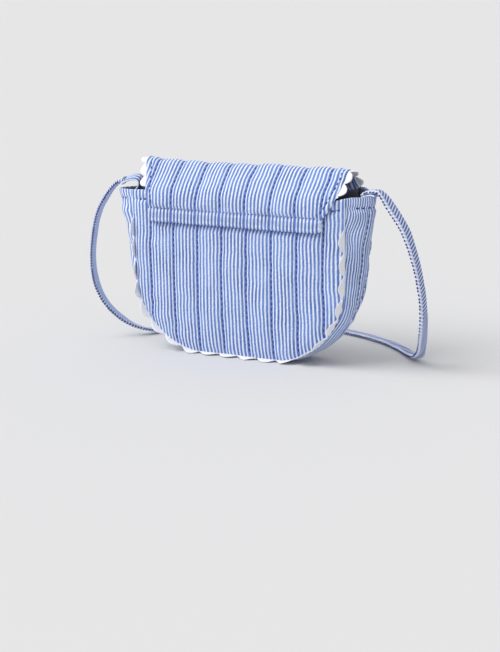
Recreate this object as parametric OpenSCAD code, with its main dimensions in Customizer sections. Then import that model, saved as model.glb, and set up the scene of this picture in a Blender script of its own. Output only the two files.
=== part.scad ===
// Small half-moon shoulder bag in quilted striped cotton: two padded panels, a bowed gusset,
// scalloped trim in the seams, a flap sewn to the back and arched over the mouth, and a flat strap.
// X runs across the bag, -Y is its front, +Y its back and +Z is up. It stands on z = 0.

/* [Bag body] */
// Width of the front and back panels, seam to seam
panel_w = 180; // [160:2:210]
// Height of the mouth's rim above the base
panel_h = 124; // [118:1:126]
// Radius of the half-moon's lower corners
corner_r = 62; // [45:1:75]
// Distance between the front seam and the back seam
seam_gap = 26; // [22:1:30]
// How far each gusset bows out sideways at the mouth
gusset_bow = 18; // [6:1:22]

/* [Cloth layers] */
// Thickness of the striped outer cloth with its seersucker crinkle
shell_t = 0.8; // [0.6:0.1:1.2]
// Thickness of the wadding
wadding_t = 2; // [1.5:0.1:2.4]
// Thickness of the lining and of the flap's facing
lining_t = 0.6; // [0.5:0.1:0.8]
// Depth of the unpadded hem round each panel
hem_h = 8; // [6:1:12]

/* [Flap] */
// Height of the flap's ridge above the base
flap_ridge_z = 145; // [144:1:150]
// Width of the flap where it is sewn to the back
flap_root_w = 146; // [120:2:150]
// Width of the flap over the mouth and down the front
flap_w = 174; // [152:2:180]
// Height of the seam that sews the flap to the back
flap_seam_z = 110; // [104:1:112]
// Height of the folded band below that seam
flap_band_h = 10; // [6:1:14]
// Height of the flap's rounded lower edge above the base
flap_drop_z = 38; // [30:1:50]

/* [Scalloped trim] */
// Distance from one scallop to the next along the panel seams
scallop_pitch = 16.6; // [12:0.2:18]
// Distance from one scallop to the next along the flap's edge
flap_scallop_pitch = 11.2; // [10:0.2:15]
// Radius of a scallop
scallop_r = 4.6; // [3.5:0.1:5.5]
// Thickness of the trim tape
trim_t = 0.8; // [0.6:0.1:1]

/* [Magnetic snap] */
// Radius of the two snap discs
snap_r = 7; // [6:0.5:9]
// Height of the snap's centre above the base
snap_z = 60; // [56:1:80]

/* [Strap] */
// Width of the flat strap
strap_w = 7.6; // [6:0.2:9]
// Thickness of the flat strap
strap_t = 3; // [2:0.1:3]

/* [Hidden] */

body_y = 2;                                  // the body sits behind the middle, to leave room for the snap
quilt_t = shell_t + wadding_t + lining_t;    // one padded wall
panel_y = seam_gap / 2;                      // inner face of each panel, from the body's middle
slip = 0.3;                                  // gap between pieces that move past each other
tuck = 3;                                    // depth of tape that is caught in a seam
edge_hem = 5;                                // unpadded margin along the flap's edges
trim_top_z = 103;                            // the seam scallops start here, below the hem
arc_fn = 96;

// the flap's arch over the mouth
arch_r0 = body_y + panel_y + quilt_t + 2 * slip;     // underside
arch_r1 = arch_r0 + quilt_t;                         // outer face
arch_z = flap_ridge_z - arch_r1;                     // centre of the arch
arch_half_gap = slip / 2;                            // half of the gap at the ridge
wide = panel_w + 60;                                 // longer than anything it cuts

// the half-moon outline, followed from the rim at -X round the base to the rim at +X
corner_x = panel_w / 2 - corner_r;
rise_len = panel_h - corner_r;
turn_len = PI / 2 * corner_r;
base_len = 2 * corner_x;
path_len = 2 * (rise_len + turn_len) + base_len;

// position and outward direction at the distance s along the outline: [x, z, nx, nz]
function outline_half(s) =
    s < rise_len ? [-panel_w / 2, panel_h - s, -1, 0] :
    s < rise_len + turn_len ? let (a = (s - rise_len) / corner_r * 180 / PI)
        [-corner_x - corner_r * cos(a), corner_r - corner_r * sin(a), -cos(a), -sin(a)] :
    [-corner_x + s - rise_len - turn_len, 0, 0, -1];
function outline(s) =
    s <= path_len / 2 ? outline_half(s) :
    let (p = outline_half(path_len - s)) [-p[0], p[1], -p[2], p[3]];

// how far the gusset bows out at the height z
bow_power = 1.3;
function bow(z) = gusset_bow * pow(max(z, 0) / panel_h, bow_power);

// ---- building blocks -------------------------------------------------------------------------

// an upright slab of a flat outline drawn in x and z, from y0 to y1
module slab(y0, y1) {
    translate([0, y1, 0]) rotate([90, 0, 0]) linear_extrude(y1 - y0) children();
}

// a shape drawn in y and z, run along x
module run_x(length) {
    rotate([90, 0, 90]) linear_extrude(length, center = true) children();
}

// half-moon outline, shrunk by inset, with its base at z = low and its top at z = top
module half_moon(half_w, r, low, inset, top) {
    intersection() {
        union() {
            for (side = [-1, 1]) translate([side * (half_w - r), low + r]) circle(r - inset, $fn = arc_fn);
            translate([r - half_w, low + inset]) square([2 * (half_w - r), r - inset]);
            translate([inset - half_w, low + r]) square([2 * (half_w - inset), wide]);
        }
        translate([-wide / 2, low]) square([wide, top - low]);
    }
}
module panel_outline(inset, top) half_moon(panel_w / 2, corner_r, 0, inset, top);
flap_r = corner_r - 4;
module flap_front_outline(inset) half_moon(flap_w / 2, flap_r, flap_drop_z, inset, flap_ridge_z + 1);

// a strip of gusset between the depths t0 and t1 below its outer face, t1 being hem_t1 in the hem
gusset_y = panel_y - trim_t;
across = 8;
function strip_point(s, v, t) = let (p = outline(s), w = bow(p[1]) * (1 - v * v) - t)
    [p[0] + p[2] * w, body_y + v * gusset_y, p[1] + p[3] * w];
module gusset_strip(stations, t0, t1, hem_t1) {
    n = len(stations);
    row = across + 1;
    outer = [for (s = stations) for (j = [0 : across]) strip_point(s, 2 * j / across - 1, t0)];
    inner = [for (s = stations) for (j = [0 : across])
        strip_point(s, 2 * j / across - 1, outline(s)[1] > panel_h - hem_h + 0.01 ? hem_t1 : t1)];
    far = n * row;
    skin = [for (i = [0 : n - 2]) for (j = [0 : across - 1]) let (a = i * row + j)
        each [[a, a + 1, a + row], [a + 1, a + row + 1, a + row]]];
    back = [for (f = skin) [f[0] + far, f[2] + far, f[1] + far]];
    ends = [for (j = [0 : across - 1]) each [
        [j, j + far, j + 1], [j + 1, j + far, j + 1 + far],
        [(n - 1) * row + j, (n - 1) * row + j + 1, (n - 1) * row + j + far],
        [(n - 1) * row + j + 1, (n - 1) * row + j + 1 + far, (n - 1) * row + j + far]]];
    sides = [for (i = [0 : n - 2]) let (a = i * row, b = a + across) each [
        [a, a + row, a + far], [a + row, a + row + far, a + far],
        [b, b + far, b + row], [b + row, b + far, b + row + far]]];
    polyhedron(points = concat(outer, inner), faces = concat(skin, back, ends, sides), convexity = 6);
}
// distances along the outline: both hems, the straight sides, the corners and the base
hem_stops = [0, hem_h];
side_stops = [for (k = [1 : 8]) hem_h + (rise_len - hem_h) * k / 8];
turn_stops = [for (k = [1 : 14]) rise_len + turn_len * k / 14];
half_stops = concat([hem_h], side_stops, turn_stops);
inner_stops = concat(half_stops, [for (k = [len(half_stops) - 1 : -1 : 0]) path_len - half_stops[k]]);
all_stops = concat([hem_stops[0], hem_stops[1] - 1], inner_stops, [path_len - hem_stops[1] + 1, path_len]);

// ---- panels ----------------------------------------------------------------------------------

// a panel's outer cloth: a shallow tray over its wadding
module panel_shell() {
    difference() {
        slab(panel_y + lining_t, panel_y + quilt_t) panel_outline(0, panel_h);
        slab(panel_y + lining_t - 1, panel_y + quilt_t - shell_t) panel_outline(edge_hem, panel_h - hem_h);
    }
}
module panel_wadding() {
    slab(panel_y + lining_t, panel_y + quilt_t - shell_t) panel_outline(edge_hem, panel_h - hem_h);
}
module panel_lining() {
    slab(panel_y, panel_y + lining_t) panel_outline(0, panel_h);
}
// scalloped tape in the seam between a panel and the gusset
module seam_trim() {
    count = floor((path_len - 2 * (panel_h - trim_top_z)) / scallop_pitch);
    first = (path_len - count * scallop_pitch) / 2;
    slab(panel_y - trim_t, panel_y) intersection() {
        translate([-wide / 2, 0]) square([wide, panel_h]);
        union() {
            difference() {
                panel_outline(0, panel_h);
                panel_outline(tuck, panel_h + 1);
            }
            for (k = [0 : count]) let (p = outline(first + k * scallop_pitch))
                translate([p[0] + p[2] * 0.6, p[1] + p[3] * 0.6]) circle(scallop_r, $fn = 32);
        }
    }
}

module at_back() translate([0, body_y, 0]) children();
module at_front() translate([0, body_y, 0]) mirror([0, 1, 0]) children();

// a round hole or disc along y, centred on the snap
module snap_rod(r, y0, y1) {
    translate([0, y1, snap_z]) rotate([90, 0, 0]) cylinder(h = y1 - y0, r = r, $fn = 48);
}
stem_r = 1.6;
stem_hole_r = 1.8;
washer_t = 0.8;
washer_room = 0.3;
front_y = body_y - panel_y;          // inner face of the front lining
socket_face_y = front_y - quilt_t - 2;
boss_r = 2;
boss_hole_r = 2.6;
boss_len = 1;

module back_panel() color("#7f9fe0") at_back() panel_shell();
module back_wadding() color("#f4f2ea") at_back() panel_wadding();
module back_lining() color("#3a3d4b") at_back() panel_lining();
module front_panel() color("#7f9fe0") difference() {
    at_front() panel_shell();
    snap_rod(stem_hole_r, front_y - quilt_t - 1, front_y);
}
module front_wadding() color("#f4f2ea") difference() {
    at_front() panel_wadding();
    snap_rod(snap_r + washer_room, front_y - quilt_t - 1, front_y);
}
module front_lining() color("#3a3d4b") at_front() panel_lining();
module back_trim() color("#fbfbfb") at_back() seam_trim();
module front_trim() color("#fbfbfb") at_front() seam_trim();

// ---- gusset ----------------------------------------------------------------------------------

module gusset() color("#8fabe6") gusset_strip(all_stops, 0, shell_t, shell_t + wadding_t);
module gusset_wadding() color("#f4f2ea") gusset_strip(inner_stops, shell_t, shell_t + wadding_t, 0);
module gusset_lining() color("#3a3d4b")
    gusset_strip(all_stops, shell_t + wadding_t, quilt_t, quilt_t);

// ---- flap ------------------------------------------------------------------------------------

// the flap's folded band, sewn to the back panel
module flap_hem() color("#8fabe6") {
    back_face = body_y + panel_y + quilt_t;
    translate([-flap_root_w / 2, back_face, flap_seam_z - flap_band_h])
        cube([flap_root_w, arch_r1 - slip - back_face, flap_band_h]);
}

// side profile of the flap's layer between the radii r0 and r1, from its seam up to the ridge
module top_profile(r0, r1) {
    translate([0, arch_z]) intersection() {
        difference() {
            circle(r1, $fn = arc_fn);
            circle(r0, $fn = arc_fn);
        }
        translate([arch_half_gap, 0]) square([arch_r1, arch_r1]);
    }
    translate([r0, flap_seam_z + slip]) square([r1 - r0, arch_z - flap_seam_z - slip]);
}
// the same from the ridge down the front to its lower edge
module front_profile(r0, r1) {
    translate([0, arch_z]) intersection() {
        difference() {
            circle(r1, $fn = arc_fn);
            circle(r0, $fn = arc_fn);
        }
        translate([-arch_r1 - arch_half_gap, 0]) square([arch_r1, arch_r1]);
    }
    translate([-r1, flap_drop_z]) square([r1 - r0, arch_z - flap_drop_z]);
}
// the flap's outline seen from behind, which widens from its seam to the ridge
module flap_top_outline(inset) {
    root = flap_root_w / 2 - inset;
    ridge = flap_w / 2 - inset;
    polygon([[-root, flap_seam_z], [root, flap_seam_z], [root, arch_z - 4],
        [ridge, flap_ridge_z - 6], [ridge, flap_ridge_z + 1], [-ridge, flap_ridge_z + 1],
        [-ridge, flap_ridge_z - 6], [-root, arch_z - 4]]);
}
module top_layer(r0, r1, inset) {
    intersection() {
        run_x(wide) top_profile(r0, r1);
        slab(-arch_r1 - 1, arch_r1 + 1) flap_top_outline(inset);
    }
}
module front_layer(r0, r1, inset) {
    intersection() {
        run_x(wide) front_profile(r0, r1);
        slab(-arch_r1 - 1, arch_r1 + 1) flap_front_outline(inset);
    }
}
tape_r0 = arch_r0 + lining_t;
tape_r1 = tape_r0 + trim_t;
wad_r1 = arch_r1 - shell_t;

module flap_top_shell() color("#7f9fe0") difference() {
    top_layer(tape_r0, arch_r1, 0);
    top_layer(tape_r0 - 1, wad_r1, edge_hem);
    difference() {
        top_layer(tape_r0 - 1, tape_r1, 0);
        top_layer(tape_r0 - 1, tape_r1, tuck);
    }
}
module flap_top_wadding() color("#f4f2ea") top_layer(tape_r0, wad_r1, edge_hem);
module flap_top_facing() color("#7591d6") top_layer(arch_r0, tape_r0, 0);

module flap_front_shell() color("#7f9fe0") difference() {
    front_layer(tape_r0, arch_r1, 0);
    front_layer(tape_r0 - 1, wad_r1, edge_hem);
    difference() {
        front_layer(tape_r0 - 1, tape_r1, 0);
        front_layer(tape_r0 - 1, tape_r1, tuck);
    }
}
module flap_front_wadding() color("#f4f2ea") difference() {
    front_layer(tape_r0, wad_r1, edge_hem);
    snap_rod(snap_r + washer_room, -arch_r1, -arch_r0);
}
module flap_front_facing() color("#7591d6") difference() {
    front_layer(arch_r0, tape_r0, 0);
    snap_rod(stem_hole_r, -arch_r1, -arch_r0 + 1);
}

// a scallop lying on the arch at the angle a from the horizontal, just outside the edge at x
module arch_scallop(x, a) {
    translate([x, 0, arch_z]) rotate([a, 0, 0]) translate([0, tape_r0, 0])
        rotate([-90, 0, 0]) cylinder(h = trim_t, r = scallop_r, $fn = 32);
}
module flap_top_trim() color("#fbfbfb") {
    difference() {
        top_layer(tape_r0, tape_r1, 0);
        top_layer(tape_r0 - 1, tape_r1 + 1, tuck);
    }
    difference() {
        for (side = [-1, 1]) for (a = [14, 44, 74]) let (grow = min(1, a / 60))
            arch_scallop(side * (flap_root_w / 2 + grow * (flap_w - flap_root_w) / 2 + 0.6), a);
        top_layer(arch_r0, arch_r1, 0);
    }
}
// scallops along the flap's sides and round its lower edge
flap_corner_x = flap_w / 2 - flap_r;
flap_turn = PI / 2 * flap_r;
flap_side = arch_z - flap_drop_z - flap_r;
flap_half = flap_side + flap_turn + flap_corner_x;
function flap_edge(s) =
    s < flap_side ? [flap_w / 2, arch_z - s, 1, 0] :
    s < flap_side + flap_turn ? let (a = (s - flap_side) / flap_r * 180 / PI)
        [flap_corner_x + flap_r * cos(a), flap_drop_z + flap_r - flap_r * sin(a), cos(a), -sin(a)] :
    [flap_half - s, flap_drop_z, 0, -1];
module flap_front_trim() color("#fbfbfb") {
    count = floor(flap_half / flap_scallop_pitch);
    difference() {
        front_layer(tape_r0, tape_r1, 0);
        front_layer(tape_r0 - 1, tape_r1 + 1, tuck);
    }
    difference() {
        union() {
            slab(-tape_r1, -tape_r0) for (side = [-1, 1]) for (k = [0 : count])
                let (p = flap_edge(flap_half - k * flap_scallop_pitch))
                translate([side * (p[0] + p[2] * 0.6), p[1] + p[3] * 0.6]) circle(scallop_r, $fn = 32);
            for (side = [-1, 1]) for (a = [112, 146]) arch_scallop(side * (flap_w / 2 + 0.6), a);
        }
        front_layer(arch_r0, arch_r1, 0);
    }
}

// ---- snap ------------------------------------------------------------------------------------

module snap_socket() color("#c9ccd2") difference() {
    union() {
        snap_rod(snap_r, socket_face_y, front_y - quilt_t);
        snap_rod(stem_r, front_y - quilt_t, front_y - lining_t - washer_t);
    }
    snap_rod(boss_hole_r, socket_face_y - 1, socket_face_y + boss_len + slip);
}
module snap_socket_washer() color("#b4b7bd")
    snap_rod(snap_r, front_y - lining_t - washer_t, front_y - lining_t);
module snap_stud() color("#c9ccd2") {
    snap_rod(snap_r, -arch_r0, socket_face_y - slip);
    snap_rod(boss_r, socket_face_y - slip - 0.5, socket_face_y - slip + boss_len);
    snap_rod(stem_r, -tape_r0, -arch_r0);
}
module snap_stud_washer() color("#b4b7bd") snap_rod(snap_r, -tape_r0 - washer_t, -tape_r0);

// ---- strap and its tabs ----------------------------------------------------------------------

tab_w = 8;
tab_x = 110;             // outer end of each tab, where the strap is sewn on
tab_leg_x = 99.8;        // inner leg, inside the mouth
tab_leg_t = 2;
tab_low_z = panel_h - 6;
module strap_tab(side) {
    mirror([side < 0 ? 1 : 0, 0, 0]) union() {
        translate([tab_leg_x, body_y - tab_w / 2, panel_h]) cube([tab_x - tab_leg_x, tab_w, strap_t]);
        translate([tab_leg_x, body_y - tab_w / 2, tab_low_z])
            cube([tab_leg_t, tab_w, panel_h - tab_low_z]);
    }
}
module strap_tab_left() color("#86a4e4") strap_tab(-1);
module strap_tab_right() color("#86a4e4") strap_tab(1);

// the strap's route: out of one tab, down to the surface, loosely round the front, up to the other
strap_route = [
    [110, 2, 125.5], [114, 2, 123.2], [118, 2, 119.6], [122, 2, 115], [126.5, 2, 109], [130.5, 2, 102.5],
    [134.5, 2, 92], [137.5, 2, 78], [139.3, 1.5, 65], [139, 1, 52], [136.5, 0, 39.5], [130.5, -2, 27],
    [121.5, -6, 16.5], [111.5, -13, 8], [102, -23, 3], [93, -36, 1.6], [83, -51, 1.6], [71, -66, 1.6],
    [55, -80, 1.6], [35, -90, 1.6], [12, -95, 1.6], [-12, -95, 1.6], [-36, -91, 1.6], [-60, -83, 1.6],
    [-83, -71, 1.6], [-103, -56, 1.6], [-119, -39, 2], [-130.5, -24, 5.5], [-138, -12, 14],
    [-142.5, -4, 26.5],
    [-144.6, 0, 40], [-144.2, 1, 54], [-142, 1.5, 68], [-139, 2, 81], [-134, 2, 93.5], [-127, 2, 105.5],
    [-119, 2, 116.6], [-115, 2, 121.6], [-110, 2, 125.5]
];
// smooth curve through the route
function spline(a, b, c, d, t) = 0.5 * ((2 * b) + (c - a) * t + (2 * a - 5 * b + 4 * c - d) * t * t
    + (3 * b - a - 3 * c + d) * t * t * t);
last = len(strap_route) - 1;
tip_out = [5, 0, 1.8];          // the strap already droops a little where it leaves each tab
rings_per_leg = 2;
strap_line = concat([for (i = [0 : last - 1]) for (k = [0 : rings_per_leg - 1])
    let (b = strap_route[i], c = strap_route[i + 1],
        a = i > 0 ? strap_route[i - 1] : b - [tip_out[0], 0, -tip_out[2]],
        d = i + 2 <= last ? strap_route[i + 2] : c + tip_out)
    spline(a, b, c, d, k / rings_per_leg)], [strap_route[last]]);
function unit(v) = v / norm(v);
function heading(i) = i == 0 ? [1, 0, 0] : i == len(strap_line) - 1 ? [1, 0, 0] :
    unit(strap_line[i + 1] - strap_line[i - 1]);
// the strap's width lies level: along y on the hanging legs, across the route on the surface
function level(i) = let (t = heading(i), p = strap_line[i], low = max(0, min(1, (14 - p[2]) / 10)),
    turned = norm([t[0], t[1]]) < 0.01 ? [0, 1, 0] : unit([t[1], -t[0], 0]),
    facing = turned[1] < 0 ? -turned : turned,
    mixed = [0, 1, 0] * (1 - low) + facing * low)
    unit(mixed - (mixed * t) * t);
// flat eight-sided section
section = [[-0.5, -0.2], [-0.36, -0.5], [0.36, -0.5], [0.5, -0.2], [0.5, 0.2], [0.36, 0.5],
    [-0.36, 0.5], [-0.5, 0.2]];
module strap() color("#86a4e4") {
    n = len(strap_line);
    m = len(section);
    points = [for (i = [0 : n - 1]) let (t = heading(i), side = level(i), up = cross(t, side))
        for (c = section) strap_line[i] + side * strap_w * c[0] + up * strap_t * c[1]];
    walls = [for (i = [0 : n - 2]) for (j = [0 : m - 1]) let (k = (j + 1) % m)
        each [[i * m + j, i * m + k, (i + 1) * m + j], [i * m + k, (i + 1) * m + k, (i + 1) * m + j]]];
    ends = [[for (j = [m - 1 : -1 : 0]) j], [for (j = [0 : m - 1]) (n - 1) * m + j]];
    polyhedron(points = points, faces = concat(walls, ends), convexity = 10);
}

back_panel();
back_wadding();
back_lining();
front_panel();
front_wadding();
front_lining();
gusset();
gusset_wadding();
gusset_lining();
back_trim();
front_trim();
flap_hem();
strap_tab_left();
strap_tab_right();
snap_socket();
snap_socket_washer();
flap_top_shell();
flap_top_wadding();
flap_top_facing();
flap_top_trim();
flap_front_shell();
flap_front_wadding();
flap_front_facing();
flap_front_trim();
snap_stud();
snap_stud_washer();
strap();
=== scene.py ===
import math
import bmesh
import bpy
import numpy as np
from mathutils import Matrix, Vector


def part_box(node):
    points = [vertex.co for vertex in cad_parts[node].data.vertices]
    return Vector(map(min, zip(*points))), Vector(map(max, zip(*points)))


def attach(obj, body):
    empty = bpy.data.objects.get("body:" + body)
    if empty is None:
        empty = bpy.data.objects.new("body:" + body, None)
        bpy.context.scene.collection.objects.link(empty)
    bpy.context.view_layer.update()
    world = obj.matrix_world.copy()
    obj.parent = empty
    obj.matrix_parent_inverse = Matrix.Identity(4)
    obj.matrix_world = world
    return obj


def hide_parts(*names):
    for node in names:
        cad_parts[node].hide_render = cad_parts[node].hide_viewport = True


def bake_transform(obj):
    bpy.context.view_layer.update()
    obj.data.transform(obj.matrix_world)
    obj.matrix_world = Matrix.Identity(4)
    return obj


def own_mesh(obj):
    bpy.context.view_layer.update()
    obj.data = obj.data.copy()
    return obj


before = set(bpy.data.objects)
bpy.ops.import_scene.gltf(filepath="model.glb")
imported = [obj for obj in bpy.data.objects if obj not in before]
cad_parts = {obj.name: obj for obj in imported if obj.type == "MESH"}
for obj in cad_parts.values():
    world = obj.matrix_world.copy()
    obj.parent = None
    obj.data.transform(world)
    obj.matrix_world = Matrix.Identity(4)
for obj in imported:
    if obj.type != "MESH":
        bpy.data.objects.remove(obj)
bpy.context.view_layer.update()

# Small half-moon shoulder bag in quilted striped cotton. Shapes are worked out in millimetres in
# the row frame: X across the bag, -Y its front, +Y its back, +Z up, and turned into metres at the end.
MM = 0.001

# ---- camera ----
CAMERA_PLACE = Vector((-0.565, 1.0174, 0.292))
CAMERA_LOOK = Vector((0.4715, -0.8522, -0.2269)).normalized()
CAMERA_UP = Vector((0.0954, -0.2065, 0.9738)).normalized()
SENSOR = 36.0
FOCAL_LENGTH = 112.6
cam_data = bpy.data.cameras.new("camera")
cam_data.sensor_fit = "HORIZONTAL"
cam_data.sensor_width = SENSOR
cam_data.lens = FOCAL_LENGTH
camera = bpy.data.objects.new("camera", cam_data)
bpy.context.scene.collection.objects.link(camera)
camera_right = CAMERA_LOOK.cross(CAMERA_UP).normalized()
camera_axes = Matrix((camera_right, camera_right.cross(CAMERA_LOOK), -CAMERA_LOOK)).transposed()
camera.matrix_world = Matrix.Translation(CAMERA_PLACE) @ camera_axes.to_4x4()
bpy.context.scene.camera = camera
bpy.context.scene.view_settings.view_transform = "Standard"


# ---- sizes, from the CAD nodes ----
def box_mm(node):
    low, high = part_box(node)
    return [v / MM for v in low], [v / MM for v in high]


BODY_Y = 2.0  # middle of the body
HALF_W = box_mm("back_panel")[1][0]  # half the panel's width
RIM_Z = box_mm("back_panel")[1][2]  # rim of the mouth
BACK_Y = box_mm("back_lining")[1][1]  # where the back panel's wadding starts
SEAM_Y = BACK_Y - BODY_Y  # from the body's middle to each seam
WALL = box_mm("back_panel")[1][1] - BACK_Y  # thickness of wadding and outer cloth
CORNER_R = 62.0  # radius of its two lower corners
CORNER_X = HALF_W - CORNER_R
HEM = 8.0  # hem at the rim
HEM_STITCH = HEM - 0.8  # its line of stitches
STRIPE = 3.0  # one blue and one white stripe
QUILT = 7 * STRIPE  # one quilted channel
QUILT_LINES = [(k + 0.5) * QUILT for k in range(-4, 4)]
SCALLOP = 16.6  # one scallop of the trim in the seams
FLAP_SCALLOP = 11.2  # and of the trim on the flap


# ---- seeded noise ----
def lattice(ix, iy, seed):
    h = (ix.astype(np.int64) * 374761393 + iy.astype(np.int64) * 668265263 + seed * 1274126177) & 0xFFFFFFFF
    h = ((h ^ (h >> 13)) * 1103515245) & 0xFFFFFFFF
    h = ((h ^ (h >> 16)) * 668265263) & 0xFFFFFFFF
    return (h >> 8) / float(1 << 24)


def noise(x, y=0.0, seed=0):
    """Smooth noise from -1 to 1, one feature to a unit."""
    x, y = np.broadcast_arrays(np.asarray(x, float), np.asarray(y, float))
    ix, iy = np.floor(x), np.floor(y)
    fx, fy = x - ix, y - iy
    fx, fy = fx * fx * (3 - 2 * fx), fy * fy * (3 - 2 * fy)
    low = lattice(ix, iy, seed) * (1 - fx) + lattice(ix + 1, iy, seed) * fx
    high = lattice(ix, iy + 1, seed) * (1 - fx) + lattice(ix + 1, iy + 1, seed) * fx
    return 2 * (low * (1 - fy) + high * fy) - 1


def fbm(x, y, seed, octaves=3):
    """Smooth noise with finer and weaker noise on top."""
    return sum(noise(x * 2 ** k, y * 2 ** k, seed + 17 * k) / 1.8 ** k for k in range(octaves))


def smooth(t):
    t = np.clip(t, 0, 1)
    return t * t * (3 - 2 * t)


def bell(d, width):
    return np.exp(-(d / width) ** 2)


# ---- meshes ----
def make_mesh(name, verts, quads, uv, materials, index=None):
    """A smooth mesh from points in millimetres, with its cloth UVs in metres. Its faces look outward."""
    mesh = bpy.data.meshes.new(name)
    mesh.vertices.add(len(verts))
    mesh.vertices.foreach_set("co", (verts * MM).astype(np.float32).ravel())
    mesh.loops.add(quads.size)
    mesh.loops.foreach_set("vertex_index", quads.astype(np.int32).ravel())
    mesh.polygons.add(len(quads))
    mesh.polygons.foreach_set("loop_start", np.arange(0, quads.size, 4, dtype=np.int32))
    mesh.polygons.foreach_set("use_smooth", np.ones(len(quads), bool))
    if index is not None:
        mesh.polygons.foreach_set("material_index", index.astype(np.int32))
    layer = mesh.uv_layers.new(name="cloth")
    layer.data.foreach_set("uv", (uv[quads.ravel()] * MM).astype(np.float32).ravel())
    mesh.update(calc_edges=True)
    mesh.validate()
    bm = bmesh.new()
    bm.from_mesh(mesh)
    bmesh.ops.recalc_face_normals(bm, faces=bm.faces)
    bm.to_mesh(mesh)
    bm.free()
    for m in materials:
        mesh.materials.append(m)
    obj = bpy.data.objects.new(name, mesh)
    bpy.context.scene.collection.objects.link(obj)
    return obj


def closed_sheet(name, outer, inner, uv, materials, inner_index=0):
    """A sheet with thickness: two grids of points joined round their border."""
    n, m = outer.shape[:2]
    idx = np.arange(n * m).reshape(n, m)
    face = np.stack([idx[:-1, :-1], idx[1:, :-1], idx[1:, 1:], idx[:-1, 1:]], -1).reshape(-1, 4)
    ring = np.concatenate([idx[0, :-1], idx[:-1, -1], idx[-1, :0:-1], idx[:0:-1, 0]])
    nxt = np.roll(ring, -1)
    back = face[:, ::-1] + n * m
    rim = np.stack([ring, nxt, nxt + n * m, ring + n * m], -1)
    quads = np.concatenate([face, back, rim])
    verts = np.concatenate([outer.reshape(-1, 3), inner.reshape(-1, 3)])
    uvs = np.concatenate([uv.reshape(-1, 2)] * 2)
    index = np.zeros(len(quads), int)
    index[len(face):2 * len(face)] = inner_index
    return make_mesh(name, verts, quads, uvs, materials, index)


def tube(name, rings, uv, materials):
    """A closed tube: rings of points, joined all round, with a cap of quads at each end."""
    n, m = rings.shape[:2]
    idx = np.arange(n * m).reshape(n, m)
    wrap = np.roll(idx, -1, 1)
    side = np.stack([idx[:-1], wrap[:-1], wrap[1:], idx[1:]], -1).reshape(-1, 4)
    caps = []
    for row, turn in ((idx[0], -1), (idx[-1], 1)):
        for k in range(m // 2 - 1):
            quad = [row[k], row[k + 1], row[m - 2 - k], row[m - 1 - k]]
            caps.append(quad[::turn])
    quads = np.concatenate([side, np.array(caps)])
    return make_mesh(name, rings.reshape(-1, 3), quads, uv.reshape(-1, 2), materials)


def unit(v):
    return v / np.maximum(np.linalg.norm(v, axis=-1, keepdims=True), 1e-9)


def facing(direction, count):
    return np.repeat(np.array(direction, float)[None], count, 0)


def run_length(points):
    """How far along a line each of its points is."""
    return np.concatenate([[0], np.cumsum(np.linalg.norm(np.diff(points, axis=0), axis=1))])


def soft_strip(width, thickness, sides=20):
    """Points round the cross-section of a flat strip with rounded edges."""
    angle = 2 * math.pi * (np.arange(sides) + 0.5) / sides
    c, s = np.cos(angle), np.sin(angle)
    return np.stack([np.copysign(np.abs(c) ** 0.45, c) * width / 2,
                     np.copysign(np.abs(s) ** 0.8, s) * thickness / 2], -1)


STITCH_SIDES = 6
# each end of a thread is closed by two quads
STITCH_CAPS = ((0, 3, 2, 1), (0, 5, 4, 3), (18, 19, 20, 21), (18, 21, 22, 23))


def stitches(name, runs, material, length=2.5, radius=0.46, gap=1.7, seed=5):
    """Short flattened threads along each run, which is (points, surface normals)."""
    verts, quads = [], []
    ring = [(math.cos(a), math.sin(a)) for a in np.arange(STITCH_SIDES) * 2 * math.pi / STITCH_SIDES]
    along_and_thick = ((-0.5, 0.12), (-0.36, 1.0), (0.36, 1.0), (0.5, 0.12))
    rng = np.random.default_rng(seed)
    for points, normals in runs:
        at = run_length(points)
        for place in np.arange(gap, at[-1] - length - gap * 0.5, length + gap):
            start = place + rng.uniform(-0.15, 0.15)
            end = start + length * rng.uniform(0.9, 1.08)
            p, q = (np.array([np.interp(v, at, points[:, k]) for k in range(3)]) for v in (start, end))
            up = unit(np.array([np.interp((start + end) / 2, at, normals[:, k]) for k in range(3)]))
            forward = unit(q - p)
            side = unit(np.cross(up, forward))
            up = np.cross(forward, side)
            centre = (p + q) / 2 + up * radius * 0.55
            span = np.linalg.norm(q - p)
            first = len(verts)
            verts.extend(centre + forward * span * e + (side * u * radius * 1.15 + up * w * radius * 0.8) * r
                         for e, r in along_and_thick for u, w in ring)
            for row in range(first, first + 3 * STITCH_SIDES, STITCH_SIDES):
                for k in range(STITCH_SIDES):
                    j = (k + 1) % STITCH_SIDES
                    quads.append([row + k, row + j, row + STITCH_SIDES + j, row + STITCH_SIDES + k])
            quads += [[first + k for k in cap] for cap in STITCH_CAPS]
    verts = np.array(verts)
    return make_mesh(name, verts, np.array(quads), verts[:, [0, 2]], [material])


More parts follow.
